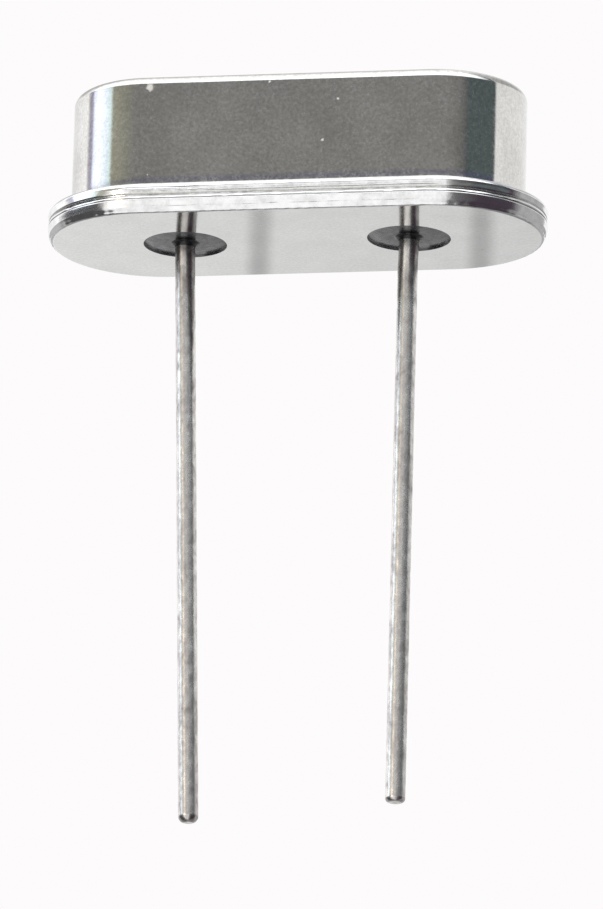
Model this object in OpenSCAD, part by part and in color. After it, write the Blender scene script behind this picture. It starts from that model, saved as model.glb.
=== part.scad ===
// Two-lead quartz crystal in a low-profile welded metal can.
//
// The origin is the middle of the base's underside, halfway between the leads.
// +X runs along the row of leads, +Z up through the can, and the leads hang
// along -Z into the board. A drawn can is welded by its flange to a stamped
// base, two glass beads carry the leads through the base, and inside a strip
// of quartz lies across two spring clips that stand on the lead heads.

/* [Can] */
// Length of the can's wall, outside, end to end
can_length = 9.87; // [9:0.01:11]
// Width of the can's wall, outside, across the flats
can_width = 3.72; // [3.4:0.01:4.4]
// Height of the can's top above the seating plane
body_height = 3.24; // [2.7:0.01:5]
// Thickness of the drawn sheet
sheet = 0.25; // [0.15:0.01:0.3]
// Outside radius between the can's wall and its top
crown_radius = 0.2; // [0.1:0.01:0.5]
// Inside radius of the same corner
crown_inner_radius = 0.08; // [0.03:0.01:0.25]

/* [Flange and weld] */
// How far the flange stands out from the can's wall, all the way round
flange_reach = 0.49; // [0.44:0.01:0.7]
// Radius of the bend from the wall into the flange, outside
flange_bend_radius = 0.15; // [0.06:0.01:0.24]
// Rounding of the flange's upper outer edge
flange_edge_round = 0.1; // [0.02:0.01:0.11]
// Rounding of the two outer edges that face each other across the seam
edge_break = 0.03; // [0.01:0.005:0.035]
// Height of the welded seam between the flange and the base
weld_height = 0.1; // [0.05:0.01:0.15]
// Width of the seam, measured in from its bulging outer face
weld_width = 0.26; // [0.15:0.01:0.3]
// How far the seam's bulge stays inside the flange's outer edge
weld_setback = 0.03; // [0.02:0.01:0.08]
// Radius of the seam's bulging outer face
weld_bulge_radius = 0.08; // [0.076:0.001:0.12]

/* [Base] */
// Thickness of the base's rim, under the seam
rim_thickness = 0.3; // [0.25:0.01:0.4]
// Rounding of the rim's lower outer edge
rim_round = 0.13; // [0.05:0.01:0.2]
// Height of the raised platform above the rim
platform_height = 0.37; // [0.2:0.01:0.5]
// Gap between the platform and the inside of the can's wall
platform_gap = 0.12; // [0.06:0.01:0.2]
// Rounding of the platform's upper edge
platform_round = 0.08; // [0.02:0.01:0.15]

/* [Leads] */
// Distance between the two leads' axes at the base
lead_pitch = 4.88; // [4.6:0.01:5.2]
// Diameter of a lead
lead_diameter = 0.43; // [0.35:0.01:0.5]
// Length of the left lead below the seating plane
left_lead_length = 12.87; // [3:0.01:16]
// Length of the right lead below the seating plane
right_lead_length = 12.5; // [3:0.01:16]
// Angle at which the left lead leans in towards the right one
left_lead_lean = 2; // [0:0.1:4]
// Angle at which the right lead leans in towards the left one
right_lead_lean = 0; // [0:0.1:4]
// Angle of the slight double bend below the right seal, in and back again
right_lead_jog = 2.2; // [2:0.1:4]
// Radius of the two arcs of that double bend, on the lead's axis
jog_radius = 8; // [8:0.5:15]
// Straight stretch of a lead below the seating plane, before its first bend
lean_start = 0.1; // [0.08:0.01:0.5]
// Radius of the slight bend where a lead starts to lean, on its axis
lean_radius = 1.5; // [0.5:0.1:5]
// Rounding of the left lead's cut end
left_tip_round = 0.15; // [0.05:0.01:0.16]
// Rounding of the right lead's cut end
right_tip_round = 0.1; // [0.05:0.01:0.16]
// Diameter of the flattened head on a lead's inner end
head_diameter = 0.8; // [0.75:0.01:0.95]
// Thickness of the head
head_thickness = 0.12; // [0.08:0.01:0.2]
// Gap between the head and the glass that has climbed the lead below it
head_gap = 0.05; // [0.03:0.01:0.2]

/* [Glass seals] */
// Diameter of a glass seal, which is also its hole's in the base
seal_diameter = 1.8; // [1.4:0.01:2.1]
// How far a seal's flat faces stay inside the base's faces
seal_recess = 0.03; // [0.01:0.005:0.06]
// How far the glass climbs the lead, and spreads from it, at each face
seal_climb = 0.1; // [0.05:0.01:0.12]

/* [Clips] */
// Thickness of the clip's ribbon
clip_thickness = 0.1; // [0.06:0.01:0.12]
// Width of the clip's ribbon
clip_width = 1.2; // [0.8:0.01:1.5]
// Inside radius of the clip's bends
clip_bend_radius = 0.1; // [0.07:0.01:0.15]
// Rise from the clip's foot, on its upper face, to the quartz
clip_rise = 0.5; // [0.4:0.01:0.8]
// Length of the shelf under the quartz, from the clip's upright
shelf_length = 0.45; // [0.3:0.01:0.6]
// Straight length of the lip over the quartz, beyond its bend
lip_length = 0.25; // [0.15:0.01:0.5]
// Gap between the quartz and the lip above it
lip_gap = 0.06; // [0.04:0.01:0.1]
// Gap between the quartz's end and the clip's upright
upright_gap = 0.05; // [0.03:0.01:0.1]

/* [Quartz] */
// Thickness of the quartz strip
quartz_thickness = 0.17; // [0.08:0.01:0.3]
// Gap between the quartz's end and the inside of the can's end
quartz_end_gap = 0.75; // [0.5:0.01:1]
// Gap between the quartz's side and the inside of the can's side
quartz_side_gap = 0.7; // [0.5:0.01:1]
// Length of an electrode, without its tab
electrode_length = 4.2; // [2:0.1:5]
// Width of an electrode
electrode_width = 1.2; // [0.8:0.01:1.5]
// Width of the tab from an electrode to its clip
tab_width = 0.5; // [0.3:0.01:0.8]
// Thickness of an electrode's metal film
film = 0.02; // [0.01:0.005:0.03]
// Radius of a dab of conductive adhesive
dab_radius = 0.32; // [0.25:0.01:0.38]

/* [Hidden] */
$fn = 96;

// Distance between the centres of the obround's two round ends
straight = can_length - can_width;
wall_radius = can_width / 2;
inside_radius = wall_radius - sheet;
flange_radius = wall_radius + flange_reach;
platform_radius = inside_radius - platform_gap;

// Heights above the seating plane, from the bottom up
flange_bottom = rim_thickness + weld_height;
flange_top = flange_bottom + sheet;
platform_top = rim_thickness + platform_height;
seal_bottom = seal_recess;
seal_top = platform_top - seal_recess;
head_bottom = seal_top + seal_climb + head_gap;
head_top = head_bottom + head_thickness;
foot_top = head_top + clip_thickness;
quartz_bottom = foot_top + clip_rise;
quartz_top = quartz_bottom + quartz_thickness;
lip_bottom = quartz_top + lip_gap;

lead_radius = lead_diameter / 2;
// Each lead's bends below the base, from the top down: angle, towards the
// other lead if positive, and radius
left_turns = [[left_lead_lean, lean_radius]];
right_turns = [
    [right_lead_jog, jog_radius],
    [-right_lead_jog, jog_radius],
    [right_lead_lean, lean_radius]
];
seal_radius = seal_diameter / 2;
lead_x = lead_pitch / 2;
quartz_length = can_length - 2 * sheet - 2 * quartz_end_gap;
quartz_width = 2 * inside_radius - 2 * quartz_side_gap;
upright_x = quartz_length / 2 + upright_gap;
bend_x = upright_x - clip_bend_radius;
lip_tip_x = bend_x - lip_length;
shelf_tip_x = upright_x - shelf_length;

// The glass meets its faces and the lead at a small angle: the arc between
// them has its centre this many climbs away from both
meniscus_offset = 1.2;
// Cutting solids reach this far past what they cut
past = 1;

steel = [0.74, 0.75, 0.76];
plated_base = [0.79, 0.79, 0.79];
tinned = [0.68, 0.68, 0.67];
dark_glass = [0.24, 0.24, 0.27];
nickel = [0.66, 0.64, 0.58];
clear_quartz = [0.86, 0.9, 0.94];
silver_film = [0.9, 0.9, 0.88];
silver_paste = [0.6, 0.6, 0.62];

// ---------------------------------------------------------------- helpers

// Carries a section right round the obround. The section's x is the distance
// out from the end arcs' axes, and its y is the height. Half turns make the
// two ends, and a straight run in each direction joins them.
module around_obround() {
    for (side = [-1, 1])
        translate([side * straight / 2, 0, 0])
            rotate([0, 0, -90 * side])
                rotate_extrude(angle = 180)
                    children();
    rotate([90, 0, 90])
        translate([0, 0, -straight / 2])
            linear_extrude(straight) {
                children();
                mirror([1, 0])
                    children();
            }
}

// Quarter of a disc, towards +x and +y
module quarter_disc(radius) {
    intersection() {
        circle(radius);
        square(radius);
    }
}

// A block from the axis out to `out`, `high` tall, its upper outer corner
// rounded and, if asked, its lower one as well
module round_cornered(out, high, upper, lower = 0) {
    translate([0, lower])
        square([out, high - lower - upper]);
    square([out - lower, high - upper]);
    square([out - upper, high]);
    translate([out - upper, high - upper])
        quarter_disc(upper);
    if (lower > 0)
        translate([out - lower, lower])
            mirror([0, 1])
                quarter_disc(lower);
}

// Places a piece at the right-hand end, or its mirror image at the left-hand
module at_end(side) {
    mirror([side < 0 ? 1 : 0, 0, 0])
        children();
}

// ---------------------------------------------------------------- can

// Outer line of the drawn can: crowned cup, bend and flange
module can_outside() {
    translate([0, flange_bottom])
        round_cornered(wall_radius, body_height - flange_bottom, crown_radius);
    translate([0, flange_bottom])
        round_cornered(flange_radius, sheet, flange_edge_round, edge_break);
    // concave bend from the wall into the flange
    translate([wall_radius, flange_top])
        difference() {
            square(flange_bend_radius);
            translate([flange_bend_radius, flange_bend_radius])
                circle(flange_bend_radius);
        }
}

// Inner line: one sheet thickness in, with the same bend inside
module can_inside() {
    inner_bend = flange_bend_radius + sheet;
    translate([0, flange_bottom - past])
        round_cornered(inside_radius, body_height - sheet - flange_bottom + past,
            crown_inner_radius);
    translate([inside_radius, flange_bottom])
        difference() {
            translate([-sheet / 2, -past])
                square([inner_bend + sheet / 2, inner_bend + past]);
            translate([inner_bend, inner_bend])
                circle(inner_bend);
            translate([inner_bend, -past])
                square([inner_bend, inner_bend + 2 * past]);
        }
}

module can() {
    color(steel)
        around_obround()
            difference() {
                can_outside();
                can_inside();
            }
}

// ---------------------------------------------------------------- base

// The seam: metal that melted up from the base, bulging out between the
// rim and the flange
module weld_seam() {
    bulge_x = flange_radius - weld_setback;
    translate([0, rim_thickness])
        intersection() {
            translate([bulge_x - weld_width, 0])
                square([weld_width, weld_height]);
            union() {
                translate([bulge_x - weld_bulge_radius, weld_height / 2])
                    circle(weld_bulge_radius);
                translate([bulge_x - weld_width, 0])
                    square([weld_width - weld_bulge_radius, weld_height]);
            }
        }
}

module base_section() {
    round_cornered(flange_radius, rim_thickness, edge_break, rim_round);
    weld_seam();
    round_cornered(platform_radius, platform_top, platform_round);
}

module base() {
    color(plated_base)
        difference() {
            around_obround()
                base_section();
            for (side = [-1, 1])
                translate([side * lead_x, 0, -past])
                    cylinder(r = seal_radius, h = platform_top + 2 * past);
        }
}

// ---------------------------------------------------------------- glass

// One meniscus: a square corner hollowed by an arc that passes through the
// ends of both its legs
module meniscus() {
    offset_to_centre = meniscus_offset * seal_climb;
    arc_radius = seal_climb * norm([meniscus_offset, meniscus_offset - 1]);
    difference() {
        square(seal_climb);
        translate([offset_to_centre, offset_to_centre])
            circle(arc_radius);
    }
}

module glass_seal(side) {
    color(dark_glass)
        translate([side * lead_x, 0, 0])
            rotate_extrude() {
                translate([lead_radius, seal_bottom])
                    square([seal_radius - lead_radius, seal_top - seal_bottom]);
                translate([lead_radius, seal_top])
                    meniscus();
                translate([lead_radius, seal_bottom])
                    mirror([0, 1])
                        meniscus();
            }
}

// ---------------------------------------------------------------- leads

// Straight rod hanging down from the origin, its cut end rounded
module hanging_rod(length, tip_round) {
    mirror([0, 0, 1])
        rotate_extrude()
            round_cornered(lead_radius, length, tip_round);
}

// Rod that hangs from the origin and makes each of `turns` in the XZ plane, one
// after the other, before it runs on straight. A turn is an angle, towards +X
// if positive, and the radius of its arc
module bent_rod(length, turns, tip_round) {
    if (len(turns) == 0)
        hanging_rod(length, tip_round);
    else {
        angle = abs(turns[0][0]);
        radius = turns[0][1];
        flip = turns[0][0] < 0 ? 1 : 0;
        later = [for (i = [1:1:len(turns) - 1]) turns[i]];
        if (angle == 0)
            bent_rod(length, later, tip_round);
        else
            mirror([flip, 0, 0]) {
                translate([radius, 0, 0])
                    rotate([90, 0, 0])
                        rotate([0, 0, 180])
                            rotate_extrude(angle = angle)
                                translate([radius, 0])
                                    circle(lead_radius);
                translate([radius * (1 - cos(angle)), 0, -radius * sin(angle)])
                    rotate([0, -angle, 0])
                        mirror([flip, 0, 0])
                            bent_rod(length - radius * angle * PI / 180, later,
                                tip_round);
            }
    }
}

// A lead at the left-hand end: head, shank through the glass, then the rod
module left_hand_lead(length, turns, tip_round) {
    color(tinned)
        translate([-lead_x, 0, 0]) {
            translate([0, 0, head_bottom])
                cylinder(d = head_diameter, h = head_thickness);
            translate([0, 0, -lean_start])
                cylinder(r = lead_radius, h = head_bottom + lean_start);
            translate([0, 0, -lean_start])
                bent_rod(length - lean_start, turns, tip_round);
        }
}

module lead_left() {
    left_hand_lead(left_lead_length, left_turns, left_tip_round);
}

module lead_right() {
    mirror([1, 0, 0])
        left_hand_lead(right_lead_length, right_turns, right_tip_round);
}

// ---------------------------------------------------------------- clips

// Quarter of a ring: a bend in the ribbon, opening towards +x and +y
module ribbon_bend() {
    outer = clip_bend_radius + clip_thickness;
    intersection() {
        difference() {
            circle(outer);
            circle(clip_bend_radius);
        }
        square(outer);
    }
}

// Side view of the clip at the right-hand end: a foot on the lead's head, an
// upright beyond the quartz, a shelf under it and a lip over it
module clip_section() {
    foot_start = lead_x - head_diameter / 2;
    translate([foot_start, head_top])
        square([bend_x - foot_start, clip_thickness]);
    translate([bend_x, foot_top + clip_bend_radius])
        mirror([0, 1])
            ribbon_bend();
    translate([upright_x, foot_top + clip_bend_radius])
        square([clip_thickness, lip_bottom - foot_top - 2 * clip_bend_radius]);
    translate([shelf_tip_x, quartz_bottom - film - clip_thickness])
        square([shelf_length + clip_thickness / 2, clip_thickness]);
    translate([bend_x, lip_bottom - clip_bend_radius])
        ribbon_bend();
    translate([lip_tip_x, lip_bottom])
        square([lip_length, clip_thickness]);
}

module clip(side) {
    color(nickel)
        at_end(side)
            rotate([90, 0, 0])
                linear_extrude(clip_width, center = true)
                    clip_section();
}

// ---------------------------------------------------------------- quartz

module quartz_strip() {
    color(clear_quartz)
        translate([-quartz_length / 2, -quartz_width / 2, quartz_bottom])
            cube([quartz_length, quartz_width, quartz_thickness]);
}

// Film on one face, with a tab that runs to the quartz's end on one side
module electrode(bottom, side) {
    color(silver_film)
        translate([0, 0, bottom])
            at_end(side)
                linear_extrude(film) {
                    square([electrode_length, electrode_width], center = true);
                    translate([0, -tab_width / 2])
                        square([quartz_length / 2, tab_width]);
                }
}

module electrode_upper() {
    electrode(quartz_top, -1);
}

module electrode_lower() {
    electrode(quartz_bottom - film, 1);
}

// ---------------------------------------------------------------- adhesive

// Half a ball of paste on the quartz, over the lip's tip or under the
// shelf's, less whatever it flows round
module adhesive(side, upper) {
    tip_x = upper ? lip_tip_x : shelf_tip_x;
    face = upper ? quartz_top : quartz_bottom;
    color(silver_paste)
        difference() {
            at_end(side)
                intersection() {
                    translate([tip_x, 0, face])
                        sphere(dab_radius);
                    translate([tip_x - dab_radius, -dab_radius,
                               upper ? face : face - dab_radius])
                        cube([upright_x - tip_x + dab_radius, 2 * dab_radius, dab_radius]);
                }
            clip(side);
            electrode_upper();
            electrode_lower();
        }
}

// ---------------------------------------------------------------- pieces

can();
base();
glass_seal(-1);  // glass_seal_left
glass_seal(1);  // glass_seal_right
lead_left();
lead_right();
clip(-1);  // clip_left
clip(1);  // clip_right
quartz_strip();
electrode_upper();
electrode_lower();
adhesive(-1, true);  // adhesive_left_upper
adhesive(-1, false);  // adhesive_left_lower
adhesive(1, true);  // adhesive_right_upper
adhesive(1, false);  // adhesive_right_lower
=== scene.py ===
# %% [markdown]
# # A two-lead quartz crystal in a low welded can
#
# The real part is a drawn steel can, bright nickel plated, whose flange is
# resistance welded to a stamped base. Two beads of dark glass are fused into
# holes in the base and carry hot-tinned wire leads. The solids come from the
# CAD frame; here each visible piece is made again as a fine mesh of the same
# form, with the small unevenness that stamping, welding, fusing and tinning
# leave, and every piece gets a material of its own.

# %% Load the frame
import math

import bpy
import numpy as np
from mathutils import Matrix


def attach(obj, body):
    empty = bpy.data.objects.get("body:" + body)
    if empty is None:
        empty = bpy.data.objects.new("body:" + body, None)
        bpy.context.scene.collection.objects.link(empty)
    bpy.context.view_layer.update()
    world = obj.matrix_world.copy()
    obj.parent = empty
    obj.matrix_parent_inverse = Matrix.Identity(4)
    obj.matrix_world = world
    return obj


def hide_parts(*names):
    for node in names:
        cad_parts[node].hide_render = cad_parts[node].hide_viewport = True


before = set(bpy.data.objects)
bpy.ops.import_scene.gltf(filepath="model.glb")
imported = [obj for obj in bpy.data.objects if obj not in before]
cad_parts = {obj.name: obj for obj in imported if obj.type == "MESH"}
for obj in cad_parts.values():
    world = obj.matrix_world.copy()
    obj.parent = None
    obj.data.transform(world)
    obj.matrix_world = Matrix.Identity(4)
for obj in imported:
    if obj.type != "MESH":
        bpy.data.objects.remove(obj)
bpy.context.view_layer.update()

# %% [markdown]
# ## Sizes
#
# The same sizes as the solids, in millimetres. Seen from above, the can, its
# flange and the base are all obrounds round one straight spine, so a place on
# them is a distance out from the spine and a height.

# %% Sizes of the solids, in millimetres
CAN_LENGTH, CAN_WIDTH, BODY_HEIGHT = 9.87, 3.72, 3.24
SHEET, CROWN_RADIUS, CROWN_INNER = 0.25, 0.2, 0.08
FLANGE_REACH, FLANGE_BEND, FLANGE_ROUND, EDGE_BREAK = 0.49, 0.15, 0.1, 0.03
WELD_HEIGHT, WELD_WIDTH, WELD_SETBACK, WELD_BULGE = 0.1, 0.26, 0.03, 0.08
RIM_THICKNESS, RIM_ROUND = 0.3, 0.13
PLATFORM_HEIGHT, PLATFORM_GAP, PLATFORM_ROUND = 0.37, 0.12, 0.08
LEAD_PITCH, LEAD_RADIUS = 4.88, 0.215
HEAD_RADIUS, HEAD_THICKNESS, HEAD_GAP = 0.4, 0.12, 0.05
SEAL_RADIUS, SEAL_RECESS, SEAL_CLIMB = 0.9, 0.03, 0.1

HALF_SPINE = (CAN_LENGTH - CAN_WIDTH) / 2
WALL = CAN_WIDTH / 2
INSIDE = WALL - SHEET
FLANGE = WALL + FLANGE_REACH
PLATFORM = INSIDE - PLATFORM_GAP
FLANGE_BOTTOM = RIM_THICKNESS + WELD_HEIGHT
FLANGE_TOP = FLANGE_BOTTOM + SHEET
PLATFORM_TOP = RIM_THICKNESS + PLATFORM_HEIGHT
SEAL_TOP = PLATFORM_TOP - SEAL_RECESS
HEAD_TOP = SEAL_TOP + SEAL_CLIMB + HEAD_GAP + HEAD_THICKNESS
LEAD_X = LEAD_PITCH / 2
MM = 0.001
print("spine half length", HALF_SPINE, "flange top", FLANGE_TOP, "head top", round(HEAD_TOP, 3))

# %% [markdown]
# ## Meshes from grids
#
# Every piece is a grid of points: a section carried along a path. Points that
# fall together, such as a cap's middle, are merged, and a face that loses a
# corner that way becomes a triangle.

# %% Mesh helper
def mesh_object(name, points, faces, face_slot=None):
    """Object of the given points (mm) and quads, merged, closed and facing out.

    Points equal to 1e-6 mm become one vertex. The signed volume, a sixth of the
    sum of a . (b x c) over the triangles, is made positive by turning all faces.
    """
    keys = np.round(points * 1e6).astype(np.int64)
    _, first, back = np.unique(keys, axis=0, return_index=True, return_inverse=True)
    back = back.reshape(-1)
    points = points[first]
    faces = back[faces]
    slots = np.zeros(len(faces), int) if face_slot is None else face_slot
    loops = []
    kept = []
    for quad, slot in zip(faces.tolist(), slots.tolist()):
        ring = [v for i, v in enumerate(quad) if v != quad[i - 1]]
        if len(set(ring)) > 2:
            loops.append(ring)
            kept.append(slot)
    tri = np.array([(r[0], r[i], r[i + 1]) for r in loops for i in range(1, len(r) - 1)])
    a, b, c = points[tri[:, 0]], points[tri[:, 1]], points[tri[:, 2]]
    volume = float(np.einsum("ij,ij->", a, np.cross(b, c))) / 6
    if volume < 0:
        loops = [r[::-1] for r in loops]
    mesh = bpy.data.meshes.new(name)
    mesh.from_pydata((points * MM).tolist(), [], loops)
    mesh.polygons.foreach_set("material_index", np.array(kept, dtype=np.int32))
    mesh.polygons.foreach_set("use_smooth", np.ones(len(loops), dtype=bool))
    mesh.update()
    mesh.set_sharp_from_angle(angle=math.radians(50))
    piece = bpy.data.objects.new(name, mesh)
    bpy.context.scene.collection.objects.link(piece)
    print(f"{name}: {len(tri)} triangles, {abs(volume):.3f} mm3")
    return piece


def grid_faces(rows, columns, close_rows, close_columns):
    """Quads of a rows x columns grid of points, wrapping round where asked."""
    i = np.arange(rows if close_rows else rows - 1)[:, None]
    j = np.arange(columns if close_columns else columns - 1)[None, :]
    i2, j2 = (i + 1) % rows, (j + 1) % columns
    quads = [i * columns + j, i2 * columns + j, i2 * columns + j2, i * columns + j2]
    return np.stack([q.reshape(-1) for q in np.broadcast_arrays(*quads)], axis=1)


def arc(cx, cz, radius, start, end, steps=10):
    """Points (cx + r cos a, cz + r sin a) of an arc, a in degrees, with its ends."""
    a = np.radians(np.linspace(start, end, steps + 1))
    return np.column_stack([cx + radius * np.cos(a), cz + radius * np.sin(a)])


def run(x0, z0, x1, z1, steps=1, hold=0.004):
    """Points of a straight stretch, with one a hair inside each end.

    The close pairs keep the smooth shading of an arc from spreading over the
    flat beside it.
    """
    length = math.hypot(x1 - x0, z1 - z0)
    t = np.linspace(0, 1, steps + 1)[1:-1]
    t = np.concatenate([[hold / length], t, [1 - hold / length]])
    return np.column_stack([x0 + (x1 - x0) * t, z0 + (z1 - z0) * t])


# %% [markdown]
# ## Once round the obround
#
# Stations go round counter-clockwise from the front left: along the front
# flat, round the right end, back along the other flat and round the left end.

# %% Stations round the obround
STRAIGHT_STEPS, TURN_STEPS = 150, 120
flat = np.linspace(-HALF_SPINE, HALF_SPINE, STRAIGHT_STEPS + 1)[:-1]
turn = np.linspace(0, math.pi, TURN_STEPS + 1)[:-1]
spine_x = np.concatenate(
    [flat, np.full(TURN_STEPS, HALF_SPINE), -flat, np.full(TURN_STEPS, -HALF_SPINE)]
)
heading = np.concatenate(
    [np.zeros(STRAIGHT_STEPS), turn, np.full(STRAIGHT_STEPS, math.pi), math.pi + turn]
)
normal = np.column_stack([np.sin(heading), -np.cos(heading)])
STATIONS = len(heading)
step = np.concatenate([[0], np.hypot(np.diff(spine_x), FLANGE * np.diff(heading))])
along = np.cumsum(step)
ROUND_LENGTH = along[-1] + FLANGE * (2 * math.pi - heading[-1])
print(f"{STATIONS} stations, {ROUND_LENGTH:.2f} mm round the flange")


def carry_round(out, height):
    """Points (spine + out * normal, height) of a section at every station.

    out and height are (stations, points) arrays, or one section for all.
    """
    out = np.broadcast_to(out, (STATIONS, np.shape(out)[-1]))
    height = np.broadcast_to(height, out.shape)
    x = spine_x[:, None] + out * normal[:, :1]
    y = out * normal[:, 1:]
    return np.stack([x, y, height], axis=2)


def unevenness(seed, shortest, longest, waves=24):
    """A smooth periodic line round the obround, about one high each way.

    The sum of cosines of whole numbers of waves between the two wavelengths,
    each with its own phase, divided by its own greatest height.
    """
    rng = np.random.default_rng(seed)
    counts = rng.integers(ROUND_LENGTH / longest, ROUND_LENGTH / shortest, waves)
    phases = rng.uniform(0, 2 * math.pi, waves)
    t = 2 * math.pi * along[:, None] / ROUND_LENGTH
    line = np.cos(t * counts + phases).sum(axis=1)
    return line / np.abs(line).max()


def band(z, low, high):
    """0 at two heights and 1 half way between them: sin squared."""
    t = np.clip((z - low) / (high - low), 0, 1)
    return np.sin(math.pi * t) ** 2


def fade(value, start, over):
    """0 up to a start, then straight up to 1 over a stretch: (value - start) / over."""
    return np.clip((value - start) / over, 0, 1)


def spread_section(parts):
    """Section of joined parts, and its distance out and height at every station."""
    section = np.concatenate(parts)
    out, height = (np.repeat(section[None, :, i], STATIONS, axis=0) for i in (0, 1))
    return section, out, height


out_x = (spine_x + FLANGE * normal[:, 0])[:, None]
out_y = (FLANGE * normal[:, 1])[:, None]
on_flats = 1 - fade(np.abs(out_x), HALF_SPINE - 0.1, 0.6)

# %% [markdown]
# ## The can
#
# Drawn from nickel-plated sheet in several strokes, then trimmed. It could be a
# box with bevels, but the light runs along its bends, so it is one exact
# section carried round the obround: top, crown, wall, drawn bend, flange and
# back up inside. Just above the bend the wall flares out by a few microns, as
# drawn sheet does.

# %% The can's section
FLARE, FLARE_OUT = 0.2, 0.0045
crown = arc(WALL - CROWN_RADIUS, BODY_HEIGHT - CROWN_RADIUS, CROWN_RADIUS, 90, 0, 12)
bend_x, bend_z = WALL + FLANGE_BEND, FLANGE_TOP + FLANGE_BEND
bend = arc(bend_x, bend_z, FLANGE_BEND, 180, 270, 12)
upper_edge = arc(FLANGE - FLANGE_ROUND, FLANGE_TOP - FLANGE_ROUND, FLANGE_ROUND, 90, 0, 10)
edge_z = np.linspace(FLANGE_TOP - FLANGE_ROUND, FLANGE_BOTTOM + EDGE_BREAK, 26)[1:-1]
sheared = np.column_stack([np.full(len(edge_z), FLANGE), edge_z])
lower_edge = arc(FLANGE - EDGE_BREAK, FLANGE_BOTTOM + EDGE_BREAK, EDGE_BREAK, 0, -90, 4)
inner_bend = arc(bend_x, FLANGE_BOTTOM + FLANGE_BEND + SHEET, FLANGE_BEND + SHEET, 270, 180, 10)
inner_crown = arc(
    INSIDE - CROWN_INNER, BODY_HEIGHT - SHEET - CROWN_INNER, CROWN_INNER, 0, 90, 4
)
before_edge = [
    np.array([[0.0, BODY_HEIGHT]]),
    run(0, BODY_HEIGHT, WALL - CROWN_RADIUS, BODY_HEIGHT, 3),
    crown,
    run(WALL, BODY_HEIGHT - CROWN_RADIUS, WALL, bend_z + FLARE, 6),
    run(WALL, bend_z + FLARE, WALL, bend_z, 10),
    bend,
]
edge = [
    run(bend_x, FLANGE_TOP, FLANGE - FLANGE_ROUND, FLANGE_TOP),
    upper_edge,
    sheared,
]
after_edge = [
    lower_edge,
    run(FLANGE - EDGE_BREAK, FLANGE_BOTTOM, bend_x, FLANGE_BOTTOM),
    inner_bend,
    run(INSIDE, inner_bend[-1, 1], INSIDE, inner_crown[0, 1]),
    inner_crown,
    np.array([[0.0, BODY_HEIGHT - SHEET]]),
]
section, out, height = spread_section(before_edge + edge + after_edge)
edge_start = sum(len(p) for p in before_edge)
edge_end = edge_start + sum(len(p) for p in edge)

outside = np.arange(len(section)) < edge_start
flared = np.clip((bend_z + FLARE - height) / FLARE, 0, 1) ** 2
flared = flared * fade(height, FLANGE_TOP, FLANGE_BEND)
out = out + np.where(outside, FLARE_OUT * flared, 0)
print("can section:", len(section), "points")

# %% [markdown]
# ### The flange's cut edge
#
# Shears leave a rounded upper edge, a burnished band with lines dragged along
# it and a broken lower edge. Scratches could be a bump texture, but they break
# the bright line that runs along the edge, so they are in the mesh: one waving
# groove, strongest at the front left, a band of fine lines, and a slight lean
# of the face towards its foot, which is less on a stretch at the front left.
# All of it is pressed inwards only, by less than two hundredths of a
# millimetre, so the part keeps its size.

# %% Build the can
GROOVE_HEIGHT, GROOVE_LIFT, GROOVE_WAVER, GROOVE_WIDTH = 0.465, 0.065, 0.006, 0.009
GROOVE_DEPTH, GROOVE_FAINT, GROOVE_STRONGER = 0.011, 0.13, 0.29
FINE_DEPTH, FINE_BAND = 0.0015, (0.43, 0.6)
LEAN, LEAN_ON_FLATS, LEAN_STRAIGHTER = 0.12, 0.02, 0.095
LEAN_TOP, LEAN_DROP = FLANGE_TOP - FLANGE_ROUND + 0.002, 0.038

at_edge = section[:, 0] > FLANGE - 0.5 * FLANGE_ROUND
waver = unevenness(3, 0.9, 5.0)[:, None]
front_left = fade(-out_x, 1.3, 1.2) * fade(-out_y, 1.5, 0.7)
groove_z = GROOVE_HEIGHT + GROOVE_LIFT * front_left + GROOVE_WAVER * waver
groove = np.exp(-(((height - groove_z) / GROOVE_WIDTH) ** 2))
groove = groove * (GROOVE_FAINT + GROOVE_STRONGER * front_left) * on_flats
fine = unevenness(5, 0.25, 1.2)[:, None]
dent = GROOVE_DEPTH * groove + FINE_DEPTH * (1 + fine) * band(height, *FINE_BAND)
straighter = fade(-out_x, 3.6, 0.4) * fade(out_x, -4.72, 0.2) * (out_y < 0)
lean = LEAN - LEAN_ON_FLATS * on_flats - LEAN_STRAIGHTER * straighter
dent = dent + lean * np.clip(LEAN_TOP - LEAN_DROP * front_left - height, 0, 1)
out = out - np.where(at_edge, dent, 0)
print("deepest dent in the edge:", round(float(dent[:, at_edge].max()), 4), "mm")

can_slots = np.zeros(len(section) - 1, int)
can_slots[edge_start + 2 : edge_end - 1] = 1
can = mesh_object(
    "can_shell",
    carry_round(out, height).reshape(-1, 3),
    grid_faces(STATIONS, len(section), True, False),
    np.tile(can_slots, STATIONS),
)

# %% [markdown]
# ## The base
#
# One stamping: a rim whose lower edge the die has rounded, the weld's metal
# bulging out above the rim, and a raised platform inside the can. Like the can
# it is a section carried round, here without its two flat faces.

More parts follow.
